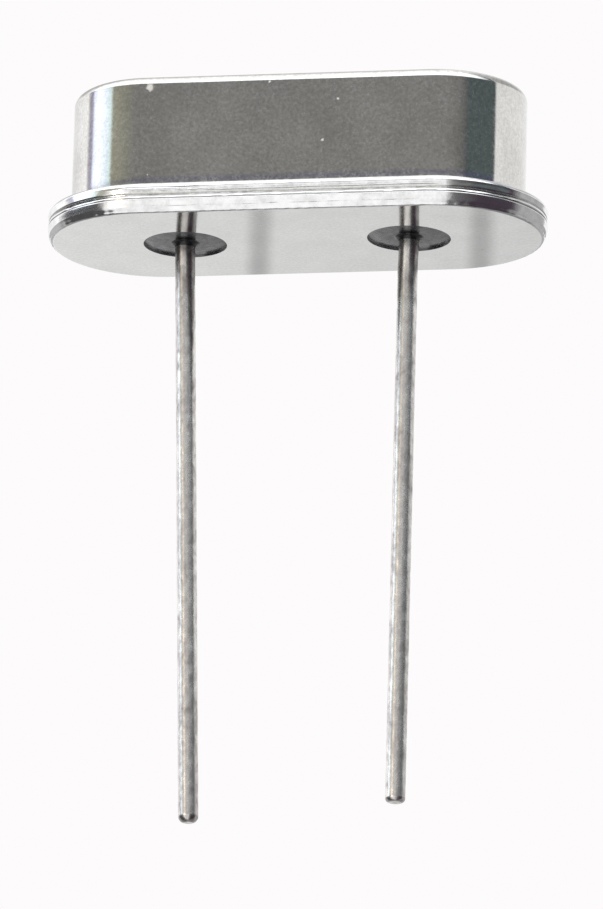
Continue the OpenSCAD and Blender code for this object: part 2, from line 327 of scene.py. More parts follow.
# %% The base's section
rim = arc(FLANGE - RIM_ROUND, RIM_ROUND, RIM_ROUND, -90, 0, 14)
rim_z = np.linspace(RIM_ROUND, RIM_THICKNESS - EDGE_BREAK, 17)[1:-1]
rim_top = arc(FLANGE - EDGE_BREAK, RIM_THICKNESS - EDGE_BREAK, EDGE_BREAK, 0, 90, 4)
bulge_x = FLANGE - WELD_SETBACK - WELD_BULGE
bulge_angle = math.degrees(math.asin(WELD_HEIGHT / 2 / WELD_BULGE))
bulge = arc(bulge_x, RIM_THICKNESS + WELD_HEIGHT / 2, WELD_BULGE, -bulge_angle, bulge_angle, 10)
weld_in = FLANGE - WELD_SETBACK - WELD_WIDTH
platform_edge = arc(
    PLATFORM - PLATFORM_ROUND, PLATFORM_TOP - PLATFORM_ROUND, PLATFORM_ROUND, 0, 90, 5
)
before_bulge = [
    rim,
    np.column_stack([np.full(len(rim_z), FLANGE), rim_z]),
    rim_top,
    run(FLANGE - EDGE_BREAK, RIM_THICKNESS, bulge[0, 0], RIM_THICKNESS),
]
after_bulge = [
    np.array([[weld_in, FLANGE_BOTTOM], [weld_in, RIM_THICKNESS]]),
    np.array([[PLATFORM, RIM_THICKNESS]]),
    run(PLATFORM, RIM_THICKNESS, PLATFORM, PLATFORM_TOP - PLATFORM_ROUND),
    platform_edge,
]
section, out, height = spread_section([*before_bulge, bulge, *after_bulge])
bulge_start = sum(len(p) for p in before_bulge)
bulge_end = bulge_start + len(bulge) - 1
print("base section:", len(section), "points")

# %% [markdown]
# ### Plating lumps, weld and draft
#
# Plating gathers in lumps on a rounded lower edge, tumbling wears a line along
# the rim, and the face of the rim leans in a little towards its foot. The
# weld's metal is spattered and slumped along the flats, and stands prouder
# round the two ends. A low light shows this in the edge's outline as well, so
# it is shape and not a bump texture.

# %% Wear the rim and the weld
LUMP_DEPTH, LUMP_BAND = 0.018, (-0.06, 0.13)
HOLLOW_DEPTH, HOLLOW_BAND, RIM_LINE_DEPTH = 0.003, (0.03, 0.24), 0.004
RIM_LINE_HEIGHT, RIM_LINE_WAVER, RIM_LINE_WIDTH = 0.142, 0.008, 0.010
RIM_DRAFT, DRAFT_STEP, DRAFT_RISE, LESS_ON_FLATS, FOOT = 0.034, 0.004, 0.2, 0.06, 0.05
SPATTER, SLUMP, FULL_BULGE = 0.010, 0.03, 0.022

lumps = 0.5 + 0.5 * unevenness(21, 0.2, 0.45, 12)[:, None]
hollows = 0.5 + 0.5 * unevenness(22, 0.3, 1.6, 30)[:, None]
rim_line = RIM_LINE_HEIGHT + RIM_LINE_WAVER * unevenness(23, 0.8, 4.0)[:, None]
pressed = LUMP_DEPTH * lumps * band(height, *LUMP_BAND)
pressed = pressed + HOLLOW_DEPTH * hollows * band(height, *HOLLOW_BAND)
worn_line = np.exp(-(((height - rim_line) / RIM_LINE_WIDTH) ** 2))
pressed = pressed + RIM_LINE_DEPTH * hollows * on_flats * worn_line
draft = RIM_DRAFT - DRAFT_STEP * on_flats - DRAFT_STEP * fade(-out_x, 4.9, 0.4)
rise = DRAFT_RISE - LESS_ON_FLATS * on_flats
draft = draft * np.clip((RIM_THICKNESS - EDGE_BREAK - height) / rise, 0, 1)
draft = draft * fade(height, 0, FOOT)
on_rim = np.arange(len(section)) < len(rim) + len(rim_z)
out = out - np.where(on_rim[None, :] & (height > 0.002), pressed + draft, 0)

on_bulge = np.zeros(len(section), bool)
on_bulge[bulge_start + 1 : bulge_end] = True
spatter = SPATTER * unevenness(31, 0.25, 1.5, 40)[:, None]
spatter = spatter * band(height, RIM_THICKNESS, FLANGE_BOTTOM)
slumped = SLUMP * fade(height, RIM_THICKNESS, WELD_HEIGHT)
ends = fade(np.abs(out_x), 4.7, 0.5)
weld_shape = (spatter - slumped) * (1 - ends) + FULL_BULGE * ends
out = out + np.where(on_bulge[None, :], weld_shape, 0)
print("rim pressed in by up to", round(float((pressed + draft)[:, on_rim].max()), 4), "mm")

# %% [markdown]
# ### The base's faces
#
# The two flat faces have a hole for each glass bead. A boolean would leave long
# thin triangles, so each half of a face is a fan of quads from its hole to the
# half's outline, and both halves meet along the middle.

# %% Faces with holes
points = [carry_round(out, height).reshape(-1, 3)]
faces = [grid_faces(STATIONS, len(section), True, False)]
side_slots = np.zeros(len(section) - 1, int)
side_slots[1:bulge_end] = 1
slots = [np.tile(side_slots, STATIONS)]


def half_outline(distance, side):
    """Closed outline of the right (1) or left (-1) half of an obround, in order."""
    half = STRAIGHT_STEPS // 2
    first = half if side > 0 else half + STRAIGHT_STEPS + TURN_STEPS
    stations = np.arange(first, first + STRAIGHT_STEPS + TURN_STEPS + 1) % STATIONS
    rim_points = carry_round(np.array([distance]), np.array([0.0]))[stations, 0, :2]
    middle = np.linspace(side * distance, -side * distance, 26)[1:-1]
    return np.concatenate([rim_points, np.column_stack([0 * middle, middle])])


def hole_circle(side):
    """Points of the seal's hole, one for each point of the base's lower outline."""
    outline = half_outline(FLANGE - RIM_ROUND, side)
    toward = outline - np.array([side * LEAD_X, 0])
    angle = np.arctan2(toward[:, 1], toward[:, 0])
    circle = np.column_stack([np.cos(angle), np.sin(angle)]) * SEAL_RADIUS
    return circle + np.array([side * LEAD_X, 0])


def add_part(new_points, new_faces):
    """Appends a grid of plain plate to the base, its faces counted from the points so far."""
    count = sum(len(p) for p in points)
    points.append(new_points)
    faces.append(new_faces + count)
    slots.append(np.zeros(len(new_faces), int))


FAN_SHARES = np.array([0, 0.01, 0.35, 0.7, 0.99, 1.0])
HOLE_HEIGHTS = (0, 0.02, 0.6, PLATFORM_TOP)
for side in (1, -1):
    circle = hole_circle(side)
    for level, distance, turn_over in (
        (0.0, FLANGE - RIM_ROUND, False),
        (PLATFORM_TOP, PLATFORM - PLATFORM_ROUND, True),
    ):
        outline = half_outline(distance, side)
        rings = circle[None] + FAN_SHARES[:, None, None] * (outline - circle)[None]
        rings = np.concatenate([rings, np.full((*rings.shape[:2], 1), level)], axis=2)
        quads = grid_faces(len(FAN_SHARES), len(circle), False, True)
        add_part(rings.reshape(-1, 3), quads if turn_over else quads[:, ::-1])
    wall = np.stack([np.column_stack([circle, np.full(len(circle), z)]) for z in HOLE_HEIGHTS])
    add_part(wall.reshape(-1, 3), grid_faces(len(HOLE_HEIGHTS), len(circle), False, True))

base = mesh_object(
    "base_plate", np.concatenate(points), np.concatenate(faces), np.concatenate(slots)
)

# %% [markdown]
# ## The glass seals
#
# A bead of dark glass fused in each hole. It wets the wire, so at both faces it
# climbs the lead in a small hollow curve. Towards the hole its lower face is
# slightly domed, because the glass shrank as it cooled. It is a turned form,
# so one section is turned about the lead's axis.

# %% Build the seals
def revolve(section, centre_x, steps=128):
    """Points (cx + r cos a, r sin a, z) of a closed section turned about a lead."""
    a = np.linspace(0, 2 * math.pi, steps, endpoint=False)[:, None]
    r, z = section[None, :, 0], section[None, :, 1]
    grid = np.stack([centre_x + r * np.cos(a), r * np.sin(a), z + 0 * a], axis=2)
    return grid.reshape(-1, 3), grid_faces(steps, len(section), True, True)


# the hollow's centre lies 1.2 climbs from the wire and from the face
CENTRE_CLIMBS, SHOULDER_WIDTH, SHOULDER_DROP = 1.2, 0.45, 0.03
offset = CENTRE_CLIMBS * SEAL_CLIMB
curve = SEAL_CLIMB * math.hypot(CENTRE_CLIMBS, CENTRE_CLIMBS - 1)
tilt = math.degrees(math.atan2(CENTRE_CLIMBS - 1, CENTRE_CLIMBS))
at_wire, at_face = 180 - tilt, 90 + tilt
lower = arc(LEAD_RADIUS + offset, SEAL_RECESS - offset, curve, at_wire, at_face, 10)
upper = arc(LEAD_RADIUS + offset, SEAL_TOP + offset, curve, -at_face, -at_wire, 10)
shoulder = np.linspace(0, 1, 13)
seal_section = np.concatenate([
    lower,
    run(lower[-1, 0], SEAL_RECESS, SEAL_RADIUS - SHOULDER_WIDTH, SEAL_RECESS, 3),
    np.column_stack([
        SEAL_RADIUS - SHOULDER_WIDTH * (1 - shoulder),
        SEAL_RECESS + SHOULDER_DROP * shoulder**2,
    ]),
    run(SEAL_RADIUS, SEAL_RECESS + SHOULDER_DROP, SEAL_RADIUS, SEAL_TOP, 1),
    [[SEAL_RADIUS, SEAL_TOP]],
    run(SEAL_RADIUS, SEAL_TOP, upper[0, 0], SEAL_TOP, 3),
    upper,
])
seals = {
    side: mesh_object(f"seal_glass_{name}", *revolve(seal_section, side * LEAD_X))
    for side, name in ((-1, "left"), (1, "right"))
}

# %% [markdown]
# ## The leads
#
# Iron-nickel wire with a flat head inside. Each was cut with a shear, which
# leaves a softly rounded end. The left one leans in below the base and the
# right one makes a slight double bend, as handled leads do. A curve object with
# a bevel could follow the bends, but rings of points also give the head and the
# tip. So the path comes first: a line that turns at a steady radius.

# %% The path of a lead
def bent_path(length, turns):
    """Centre line of a lead as (distance, x, z, lean) from its head downwards.

    x = sum of sin(lean) ds and z = HEAD_TOP - sum of cos(lean) ds, where the lean
    grows by ds / radius along each turn of (degrees, radius).
    """
    start = HEAD_TOP + 0.1
    marks = [(0.0, 0.0), (start, 0.0)]
    lean, at = 0.0, start
    for angle, radius in turns:
        size = abs(math.radians(angle)) * radius
        for share in np.linspace(0, 1, 9)[1:]:
            marks.append((at + share * size, lean + share * math.radians(angle)))
        lean, at = lean + math.radians(angle), at + size
    end = HEAD_TOP + length
    marks.append((end, lean))
    s = np.unique(np.concatenate([[m[0] for m in marks], np.linspace(0, end, 1200)]))
    angle = np.interp(s, [m[0] for m in marks], [m[1] for m in marks])
    middle = (angle[1:] + angle[:-1]) / 2
    ds = np.diff(s)
    x = np.concatenate([[0], np.cumsum(np.sin(middle) * ds)])
    z = HEAD_TOP - np.concatenate([[0], np.cumsum(np.cos(middle) * ds)])
    return s, x, z, angle


LEFT_LENGTH, LEFT_TIP, LEFT_TURNS = 12.87, 0.15, [(2, 1.5)]
RIGHT_LENGTH, RIGHT_TIP, RIGHT_TURNS = 12.5, 0.1, [(2.2, 8), (-2.2, 8)]
for length, turns in ((LEFT_LENGTH, LEFT_TURNS), (RIGHT_LENGTH, RIGHT_TURNS)):
    print("a lead's tip lies", round(bent_path(length, turns)[1][-1], 3), "mm out of line")

# %% [markdown]
# ### Tin on the wire
#
# The leads are dipped in hot tin below the base, and it freezes on them in
# slight lumps. Added waves of random length and turn, a few microns high, are
# smooth enough for that and close up round the wire.

# %% Build the leads
HEAD_ROUND, SHANK_START, SHANK_RINGS = 0.03, 0.16, 250
TIN_HEIGHT, TIN_WAVES, TIN_START, TIN_FADE, TIP_FADE = 0.0035, 40, 0.15, 0.3, 0.2


def lead_rings(length, tip_round):
    """(distance from the head's top, radius) of every ring of a lead."""
    end = HEAD_TOP + length
    head = [(0, 0), (0, HEAD_RADIUS - HEAD_ROUND)]
    head += [(HEAD_ROUND - HEAD_ROUND * math.cos(a),
              HEAD_RADIUS - HEAD_ROUND + HEAD_ROUND * math.sin(a))
             for a in np.radians([30, 60, 90])]
    head += [(HEAD_THICKNESS, HEAD_RADIUS), (HEAD_THICKNESS, LEAD_RADIUS)]
    shank_end = end - tip_round - 0.004
    shank = [(s, LEAD_RADIUS) for s in np.linspace(SHANK_START, shank_end, SHANK_RINGS)]
    tip = [(end - tip_round + tip_round * math.sin(a),
            LEAD_RADIUS - tip_round + tip_round * math.cos(a))
           for a in np.radians(np.linspace(0, 90, 9))]
    flat_end = LEAD_RADIUS - tip_round
    return np.array(head + shank + tip + [(end, flat_end * 0.5), (end, 0)])


def build_lead(name, side, length, turns, tip_round, seed, around=96):
    """A tube of rings along the bent path: centre + r (cos a, sin a) across it."""
    rings = lead_rings(length, tip_round)
    s, x, z, lean = bent_path(length, turns)
    cx, cz, tilt = (np.interp(rings[:, 0], s, v)[:, None] for v in (x, z, lean))
    a = np.linspace(0, 2 * math.pi, around, endpoint=False)[None, :]
    rng = np.random.default_rng(seed)
    tin = np.zeros((len(rings), around))
    for _ in range(TIN_WAVES):
        turns_round = rng.integers(0, 4)
        per_mm = rng.uniform(0.3, 2.4)
        phase = rng.uniform(0, 2 * math.pi)
        tin += np.cos(turns_round * a + 2 * math.pi * per_mm * rings[:, :1] + phase)
    tin = TIN_HEIGHT * tin / np.abs(tin).max()
    end = HEAD_TOP + length
    dipped = fade(rings[:, :1], HEAD_TOP + TIN_START, TIN_FADE)
    dipped = dipped * (1 - fade(rings[:, :1], end - TIP_FADE, TIP_FADE))
    r = rings[:, 1:] + np.where(rings[:, 1:] > 0, tin * dipped, 0)
    across = r * np.cos(a)
    grid = np.stack([
        side * (LEAD_X - (cx + across * np.cos(tilt))),
        r * np.sin(a),
        cz + across * np.sin(tilt),
    ], axis=2)
    return mesh_object(name, grid.reshape(-1, 3), grid_faces(len(rings), around, False, True))


leads = {
    -1: build_lead("tinned_lead_left", -1, LEFT_LENGTH, LEFT_TURNS, LEFT_TIP, 41),
    1: build_lead("tinned_lead_right", 1, RIGHT_LENGTH, RIGHT_TURNS, RIGHT_TIP, 43),
}

# %% [markdown]
# ## Materials
#
# Colours are the sRGB hex of the real surface, made linear by one function, and
# patterns are sized from Object coordinates turned into millimetres.

# %% Material helpers
def linear(hex_colour):
    """sRGB to linear: c / 12.92 up to 0.04045, else ((c + 0.055) / 1.055)^2.4."""
    c = np.array([int(hex_colour[i : i + 2], 16) / 255 for i in (1, 3, 5)])
    c = np.where(c <= 0.04045, c / 12.92, ((c + 0.055) / 1.055) ** 2.4)
    return (*c.tolist(), 1.0)


def add(tree, kind, links=None, values=None, **settings):
    """Adds a node, sets its properties, its unlinked inputs and its links."""
    node = tree.nodes.new(kind)
    for key, value in settings.items():
        setattr(node, key, value)
    for key, value in (values or {}).items():
        node.inputs[key].default_value = value
    for key, source in (links or {}).items():
        tree.links.new(source, node.inputs[key])
    return node


def bare_material(name):
    """A material with an empty node tree, and the tree."""
    material = bpy.data.materials.new(name)
    material.use_nodes = True
    material.node_tree.nodes.clear()
    print("material:", name)
    return material, material.node_tree


def start_material(name):
    """A material with a shader, its output, and Object coordinates in mm."""
    material, tree = bare_material(name)
    shader = add(tree, "ShaderNodeBsdfPrincipled")
    add(tree, "ShaderNodeOutputMaterial", {"Surface": shader.outputs[0]})
    place = add(tree, "ShaderNodeTexCoord").outputs["Object"]
    mm = add(tree, "ShaderNodeVectorMath", {0: place}, {"Scale": 1 / MM}, operation="SCALE")
    return material, tree, shader, mm.outputs[0]


print("middle grey is", round(linear("#808080")[0], 3), "in linear light")

# %% [markdown]
# ### Sums of nodes
#
# Each helper below adds a node or two and gives back the socket with the
# result, so that a finish reads like a formula. The last one links a shader.

# %% Node sums
def calculate(tree, operation, *terms):
    """Result of one Math node: each term is a socket or a plain number."""
    node = add(tree, "ShaderNodeMath", operation=operation)
    for socket, term in zip(node.inputs, terms):
        if isinstance(term, (int, float)):
            socket.default_value = term
        else:
            tree.links.new(term, socket)
    return node.outputs[0]


def rescale(tree, value, low, high, to_low=0.0, to_high=1.0, kind="LINEAR"):
    """Goes from to_low to to_high while the value goes from low to high."""
    ends = {"From Min": low, "From Max": high, "To Min": to_low, "To Max": to_high}
    node = add(tree, "ShaderNodeMapRange", {"Value": value}, ends, interpolation_type=kind)
    return node.outputs[0]


def mix(tree, a, b, share):
    """Mixture of two patterns: a (1 - share) + b share."""
    node = add(tree, "ShaderNodeMix", {"A": a, "B": b}, {"Factor": share}, data_type="FLOAT")
    return node.outputs[0]


def blend(tree, under, over, share):
    """Mixture of two colours by a share, each a socket or an (r, g, b)."""
    node = add(tree, "ShaderNodeMix", {"Factor": share}, data_type="RGBA")
    for key, value in (("A_Color", under), ("B_Color", over)):
        socket = next(i for i in node.inputs if i.identifier == key)
        if isinstance(value, tuple):
            socket.default_value = (*value[:3], 1.0)
        else:
            tree.links.new(value, socket)
    return next(o for o in node.outputs if o.identifier == "Result_Color")


def noise(tree, where, per_mm, detail=3.0, roughness=0.55, stretch=(1, 1, 1)):
    """Fractal noise with about per_mm blotches to the millimetre."""
    if stretch != (1, 1, 1):
        where = add(
            tree, "ShaderNodeVectorMath", {0: where}, {1: stretch}, operation="MULTIPLY"
        ).outputs[0]
    return add(
        tree, "ShaderNodeTexNoise", {"Vector": where},
        {"Scale": per_mm, "Detail": detail, "Roughness": roughness},
    ).outputs["Fac"]


def ramp(tree, factor, stops):
    """Colour ramp: stops are (position, colour) with a hex, a grey or an (r, g, b)."""
    node = add(tree, "ShaderNodeValToRGB", {"Fac": factor})
    elements = node.color_ramp.elements
    while len(elements) < len(stops):
        elements.new(0.5)
    for element, (position, colour) in zip(elements, stops):
        element.position = position
        if isinstance(colour, str):
            colour = linear(colour)
        elif not isinstance(colour, tuple):
            colour = (colour,) * 3
        element.color = (*colour[:3], 1.0)
    return node.outputs["Color"]


def surface(tree, shader, tint, rough, height, strength, depth_mm):
    """Links a tint, a roughness and a bump, depth_mm deep where the height goes 0 to 1."""
    tree.links.new(tint, shader.inputs["Base Color"])
    tree.links.new(rough, shader.inputs["Roughness"])
    node = add(
        tree, "ShaderNodeBump", {"Height": height},
        {"Strength": strength, "Distance": depth_mm * MM},
    )
    tree.links.new(node.outputs[0], shader.inputs["Normal"])


# %% [markdown]
# ### Bright nickel on drawn steel
#
# Nickel reflects about two thirds of the light, faintly warm. Drawing leaves a
# fine orange-peel grain under the plating, handling leaves faint stains and a
# few nicks. Two noises make the stains and the grain, and each nick has a place
# of its own.

# %% Plated wall and plated base
RAGGED = 0.08


def nick_marks(tree, mm, nicks):
    """1 in small round marks, 0 outside: each mark is (x, y, z, radius) in mm.

    The place is shifted by up to RAGGED mm of noise, less its mean, so that the
    marks aren't true circles.
    """
    ragged = add(tree, "ShaderNodeTexNoise", {"Vector": mm}, {"Scale": 9.0, "Detail": 2.0})
    shift = add(
        tree, "ShaderNodeVectorMath", {0: ragged.outputs["Color"], 2: mm},
        {1: (RAGGED, RAGGED, RAGGED)}, operation="MULTIPLY_ADD",
    ).outputs[0]
    marks = []
    for *middle, radius in nicks:
        away = add(
            tree, "ShaderNodeVectorMath", {0: shift}, {1: [v + RAGGED / 2 for v in middle]},
            operation="DISTANCE",
        ).outputs["Value"]
        marks.append(rescale(tree, away, radius, 0.4 * radius, 0.0, 0.8))
    total = marks[0]
    for mark in marks[1:]:
        total = calculate(tree, "MAXIMUM", total, mark)
    return total


def plated(name, light, dark, rough_low, rough_high, nicks):
    """Nickel plate: faint stains in the tint, grain in the haze, and a few nicks."""
    material, tree, shader, mm = start_material(name)
    shader.inputs["Metallic"].default_value = 1.0
    stain = noise(tree, mm, 0.9, 4.0, 0.6)
    grain = noise(tree, mm, 13.0, 5.0, 0.8)
    patches = noise(tree, mm, 2.2, 3.0, 0.55, (1, 1, 0.6))
    speck = nick_marks(tree, mm, nicks)
    tint = ramp(tree, mix(tree, stain, grain, 0.7), [(0.38, dark), (0.62, light)])
    tint = blend(tree, tint, linear("#e8e5de"), speck)
    haze = mix(tree, grain, patches, 0.3)
    rough = ramp(tree, haze, [(0.36, rough_low), (0.64, rough_high)])
    rough = calculate(tree, "MULTIPLY_ADD", speck, 0.35, rough)
    surface(tree, shader, tint, rough, grain, 0.2, 0.0015)
    return material


can_plate = plated("bright_nickel_plate", "#e2e1de", "#bdbcb9", 0.03, 0.15, [
    (-2.96, -WALL, 2.965, 0.11), (1.14, -WALL, 2.58, 0.035), (0.82, -WALL, 1.66, 0.04),
    (-2.95, -WALL, 0.98, 0.02), (-0.35, -WALL, 3.0, 0.03),
])
base_plate = plated("satin_nickel_plate", "#dddddc", "#c8c8c7", 0.06, 0.16, [
    (-0.6, -1.2, 0.0, 0.04), (3.9, 0.9, 0.0, 0.05),
])

# %% [markdown]
# ### Sheared and tumbled edge
#
# The flange's cut edge and the rim are rougher than the plate: the press has
# dragged fine lines along them and tumbling has dulled them, so they catch
# light from every side. The tint is darker in a band at the height of the seam
# between the two.

# %% Worn edge
SEAM_HEIGHT, SEAM_DARK_CORE, SEAM_DARK_REACH = 0.306, 0.006, 0.034
edge_metal, tree, shader, mm = start_material("tumbled_edge")
shader.inputs["Metallic"].default_value = 1.0
streak = noise(tree, mm, 1.6, 4.0, 0.6, (1, 1, 8))
blot = noise(tree, mm, 4.5, 4.0, 0.6)
both = mix(tree, streak, blot, 0.7)
tint = ramp(tree, both, [(0.34, "#d8d8d8"), (0.55, "#efefef"), (0.72, "#f8f8f9")])
level = add(tree, "ShaderNodeSeparateXYZ", {0: mm}).outputs["Z"]
# the tint darkens in a patchy band at the seam's height
off_seam = calculate(tree, "ABSOLUTE", calculate(tree, "SUBTRACT", level, SEAM_HEIGHT))
in_seam = rescale(tree, off_seam, SEAM_DARK_CORE, SEAM_DARK_REACH, 1.3, 0.0)
tint = blend(tree, tint, linear("#6f6d6a"), calculate(tree, "MULTIPLY", in_seam, blot))
rough = ramp(tree, both, [(0.3, 0.2), (0.7, 0.11)])
surface(tree, shader, tint, rough, both, 0.6, 0.006)

# %% [markdown]
# ### Sealing glass
#
# Sealing glass for such bases is loaded with pigment, nearly black and glossy,
# under a fire-polished skin. Its tint is painted darkest near the wire, as
# painted shade round the lead, and clouds to grey away from it. Both seals share
# the material, so the distance from a lead is taken with x folded at the middle
# of the part.

# %% Dark sealing glass
seal_glass, tree, shader, mm = start_material("dark_sealing_glass")
shader.inputs["IOR"].default_value = 1.49
cloud = noise(tree, mm, 3.2, 4.0, 0.6)
folded = add(tree, "ShaderNodeVectorMath", {0: mm}, operation="ABSOLUTE").outputs[0]
level_out = add(
    tree, "ShaderNodeVectorMath", {0: folded}, {1: (1.0, 1.0, 0.0)}, operation="MULTIPLY"
).outputs[0]
from_lead = add(
    tree, "ShaderNodeVectorMath", {0: level_out}, {1: (LEAD_X, 0.0, 0.0)}, operation="DISTANCE"
).outputs["Value"]
# painted shade: the tint goes darkest within 0.3 mm of each lead, clouding further out
clouding_and_lead_shade = calculate(tree, "MULTIPLY", rescale(tree, from_lead, 0.3, 0.75), cloud)
tint = ramp(tree, clouding_and_lead_shade, [(0.1, "#121214"), (0.4, "#37373a"), (0.62, "#58585b")])
rough = ramp(tree, noise(tree, mm, 9.0), [(0.3, 0.2), (0.7, 0.34)])
surface(tree, shader, tint, rough, cloud, 0.5, 0.012)

# %% [markdown]
# ### Hot tin on wire
#
# Tin freezes on the wire in dull and bright patches drawn out along it, with a
# faint warm tarnish. Two noises, one stretched along the wire, make the patches.

# %% Tinned wire
tin_metal, tree, shader, mm = start_material("hot_tin")
shader.inputs["Metallic"].default_value = 1.0
drawn_out = noise(tree, mm, 2.6, 5.0, 0.65, (1, 1, 0.45))
mottle = noise(tree, mm, 9.0, 4.0, 0.6, (1, 1, 0.6))
both = mix(tree, drawn_out, mottle, 0.5)
tint = ramp(tree, both, [
    (0.34, "#a39e9c"), (0.46, "#cdc9c6"), (0.56, "#e8e5e1"), (0.68, "#faf7f3"),
])
rough = ramp(tree, both, [(0.3, 0.34), (0.7, 0.22)])
surface(tree, shader, tint, rough, both, 0.6, 0.012)

# %% [markdown]
# ### What is inside
#
# Nickel clips, a frosted strip of quartz with silver films, and dabs of
# silver-filled paste. The can hides them, but an opened model shows them.

# %% Inner materials
def simple_metal(name, light, dark, rough_low, rough_high, per_mm, depth_mm, stretch=(1, 1, 1)):
    """Metal with a two-tone noise that also drives its roughness and bump."""
    material, tree, shader, mm = start_material(name)
    shader.inputs["Metallic"].default_value = 1.0
    pattern = noise(tree, mm, per_mm, 4.0, 0.6, stretch)
    tint = ramp(tree, pattern, [(0.3, dark), (0.7, light)])
    rough = ramp(tree, pattern, [(0.3, rough_high), (0.7, rough_low)])
    surface(tree, shader, tint, rough, pattern, 0.4, depth_mm)
    return material


# rolled ribbon: its grain is fine across it, along y, and drawn out lengthwise
clip_nickel = simple_metal("rolled_nickel", "#cbc5b8", "#aea797", 0.25, 0.4, 3.0, 0.003, (1, 8, 1))
silver_film = simple_metal("evaporated_silver", "#eceae4", "#d8d5cc", 0.15, 0.25, 6.0, 0.001)

# silver flakes in cured resin: half way between a metal and a plastic
silver_paste, tree, shader, mm = start_material("silver_paste")
shader.inputs["Metallic"].default_value = 0.4
grains = noise(tree, mm, 18.0, 4.0, 0.7)
tint = ramp(tree, grains, [(0.3, "#77777a"), (0.7, "#a9a9ab")])
surface(tree, shader, tint, ramp(tree, grains, [(0.3, 0.6), (0.7, 0.45)]), grains, 0.6, 0.01)

# quartz lapped to a fine matt face, clear inside
quartz, tree, shader, mm = start_material("lapped_quartz")
shader.inputs["IOR"].default_value = 1.544
shader.inputs["Transmission Weight"].default_value = 1.0
lapped = noise(tree, mm, 30.0, 2.0, 0.5)
tint = ramp(tree, lapped, [(0.3, "#e6edf2"), (0.7, "#f7fafc")])
surface(tree, shader, tint, ramp(tree, lapped, [(0.3, 0.3), (0.7, 0.45)]), lapped, 0.3, 0.002)

# %% [markdown]
# ## Onto the frame
#
# Each new piece replaces one solid of the frame and rides on the root, because
# nothing moves. The nine inner pieces keep the frame's own meshes, which are
# true enough for what is never seen, and only get a material.

# %% Hang the pieces on the frame
def dress(piece, materials, node):
    """Gives a new piece its materials, hangs it on the root and hides the CAD node it stands in
    for.
    """
    for material in materials:
        piece.data.materials.append(material)
    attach(piece, "root")
    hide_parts(node)


dress(can, [can_plate, edge_metal], "can")
dress(base, [base_plate, edge_metal], "base")
for side, name in ((-1, "left"), (1, "right")):
    dress(seals[side], [seal_glass], f"glass_seal_{name}")
    dress(leads[side], [tin_metal], f"lead_{name}")

inner = {"clip": clip_nickel, "quartz": quartz, "electrode": silver_film, "adhesive": silver_paste}
for name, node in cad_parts.items():
    kind = name.split("_")[0]
    if kind in inner:
        node.data.materials.clear()
        node.data.materials.append(inner[kind])
print("inner nodes dressed:", sorted(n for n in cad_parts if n.split("_")[0] in inner))

# %% [markdown]
# ## Studio
#
# A pale floor just under the lead tips. The base is looked at from below as
# well, so the floor is seen from above only: its back is clear. The metal could
# mirror it, but the table in the room's own light is easier to set, so mirrors
# don't see this one.

# %% Floor
FLOOR_HEIGHT, FLOOR_HALF = -12.9, 3000.0


def flat_sheet(name, corners, material):
    """A flat sheet with four corners in mm and one material."""
    mesh = bpy.data.meshes.new(name)
    mesh.from_pydata([[v * MM for v in corner] for corner in corners], [], [(0, 1, 2, 3)])
    mesh.materials.append(material)
    sheet = bpy.data.objects.new(name, mesh)
    bpy.context.scene.collection.objects.link(sheet)
    print("sheet:", name)
    return sheet


pale_floor, tree = bare_material("pale_floor")
paper = add(tree, "ShaderNodeBsdfDiffuse", values={"Color": linear("#d6d6d6")})
clear = add(tree, "ShaderNodeBsdfTransparent")
facing = add(tree, "ShaderNodeNewGeometry").outputs["Backfacing"]
both = add(tree, "ShaderNodeMixShader", {0: facing, 1: paper.outputs[0], 2: clear.outputs[0]})
add(tree, "ShaderNodeOutputMaterial", {"Surface": both.outputs[0]})
corners = [(-1, -1), (1, -1), (1, 1), (-1, 1)]
floor = flat_sheet(
    "floor", [(x * FLOOR_HALF, y * FLOOR_HALF, FLOOR_HEIGHT) for x, y in corners], pale_floor
)
floor.visible_glossy = False

# %% [markdown]
# ### The leads' shadows in the underside
#
# Paper stands behind the part, and the leads throw two soft shadows on it. The
# shiny underside mirrors them as two dim bars. The paper is part of the room's
# light here, which takes no shadow, so one clear sheet with two dim stripes
# hangs just behind the base. Only mirrors see it.

# %% Shadows of the leads on the paper behind
SHEET_BACK, SHEET_LOW, SHEET_HIGH, SHEET_LEFT, SHEET_RIGHT = 2.55, -1.7, -0.02, -2.2, 4.6
SHADOW_DEPTH, SHADOW_CORE = 0.34, 0.03
SHADOWS = ((-1.28, 0.41), (3.6, 0.44))  # middle and half width of each

soft_shadow, tree = bare_material("soft_shadow")
place = add(tree, "ShaderNodeTexCoord").outputs["Object"]
across = add(tree, "ShaderNodeSeparateXYZ", {0: place}).outputs["X"]
stripes = []
for middle, half_width in SHADOWS:
    away = calculate(tree, "ABSOLUTE", calculate(tree, "SUBTRACT", across, middle * MM))
    reach = half_width * MM
    stripes.append(rescale(tree, away, SHADOW_CORE * MM, reach, SHADOW_DEPTH, 0.0, "SMOOTHSTEP"))
share = calculate(tree, "MAXIMUM", *stripes)
black = add(tree, "ShaderNodeEmission", values={"Strength": 0.0})
clear = add(tree, "ShaderNodeBsdfTransparent")
both = add(tree, "ShaderNodeMixShader", {0: share, 1: clear.outputs[0], 2: black.outputs[0]})
add(tree, "ShaderNodeOutputMaterial", {"Surface": both.outputs[0]})
card = flat_sheet("lead_shadows", [
    (SHEET_LEFT, SHEET_BACK, SHEET_LOW), (SHEET_RIGHT, SHEET_BACK, SHEET_LOW),
    (SHEET_RIGHT, SHEET_BACK, SHEET_HIGH), (SHEET_LEFT, SHEET_BACK, SHEET_HIGH),
], soft_shadow)
card.visible_camera = card.visible_diffuse = card.visible_shadow = False
card.visible_transmission = False

# %% [markdown]
# ## The room around
#
# Bright metal shows the room more than itself. The room could be built from lit
# cards, but they would stand in the way of a look from another side, so it is a
# world that gives each direction its light: angles round the part, 0 in front
# and positive to the right, and angles up from the level.

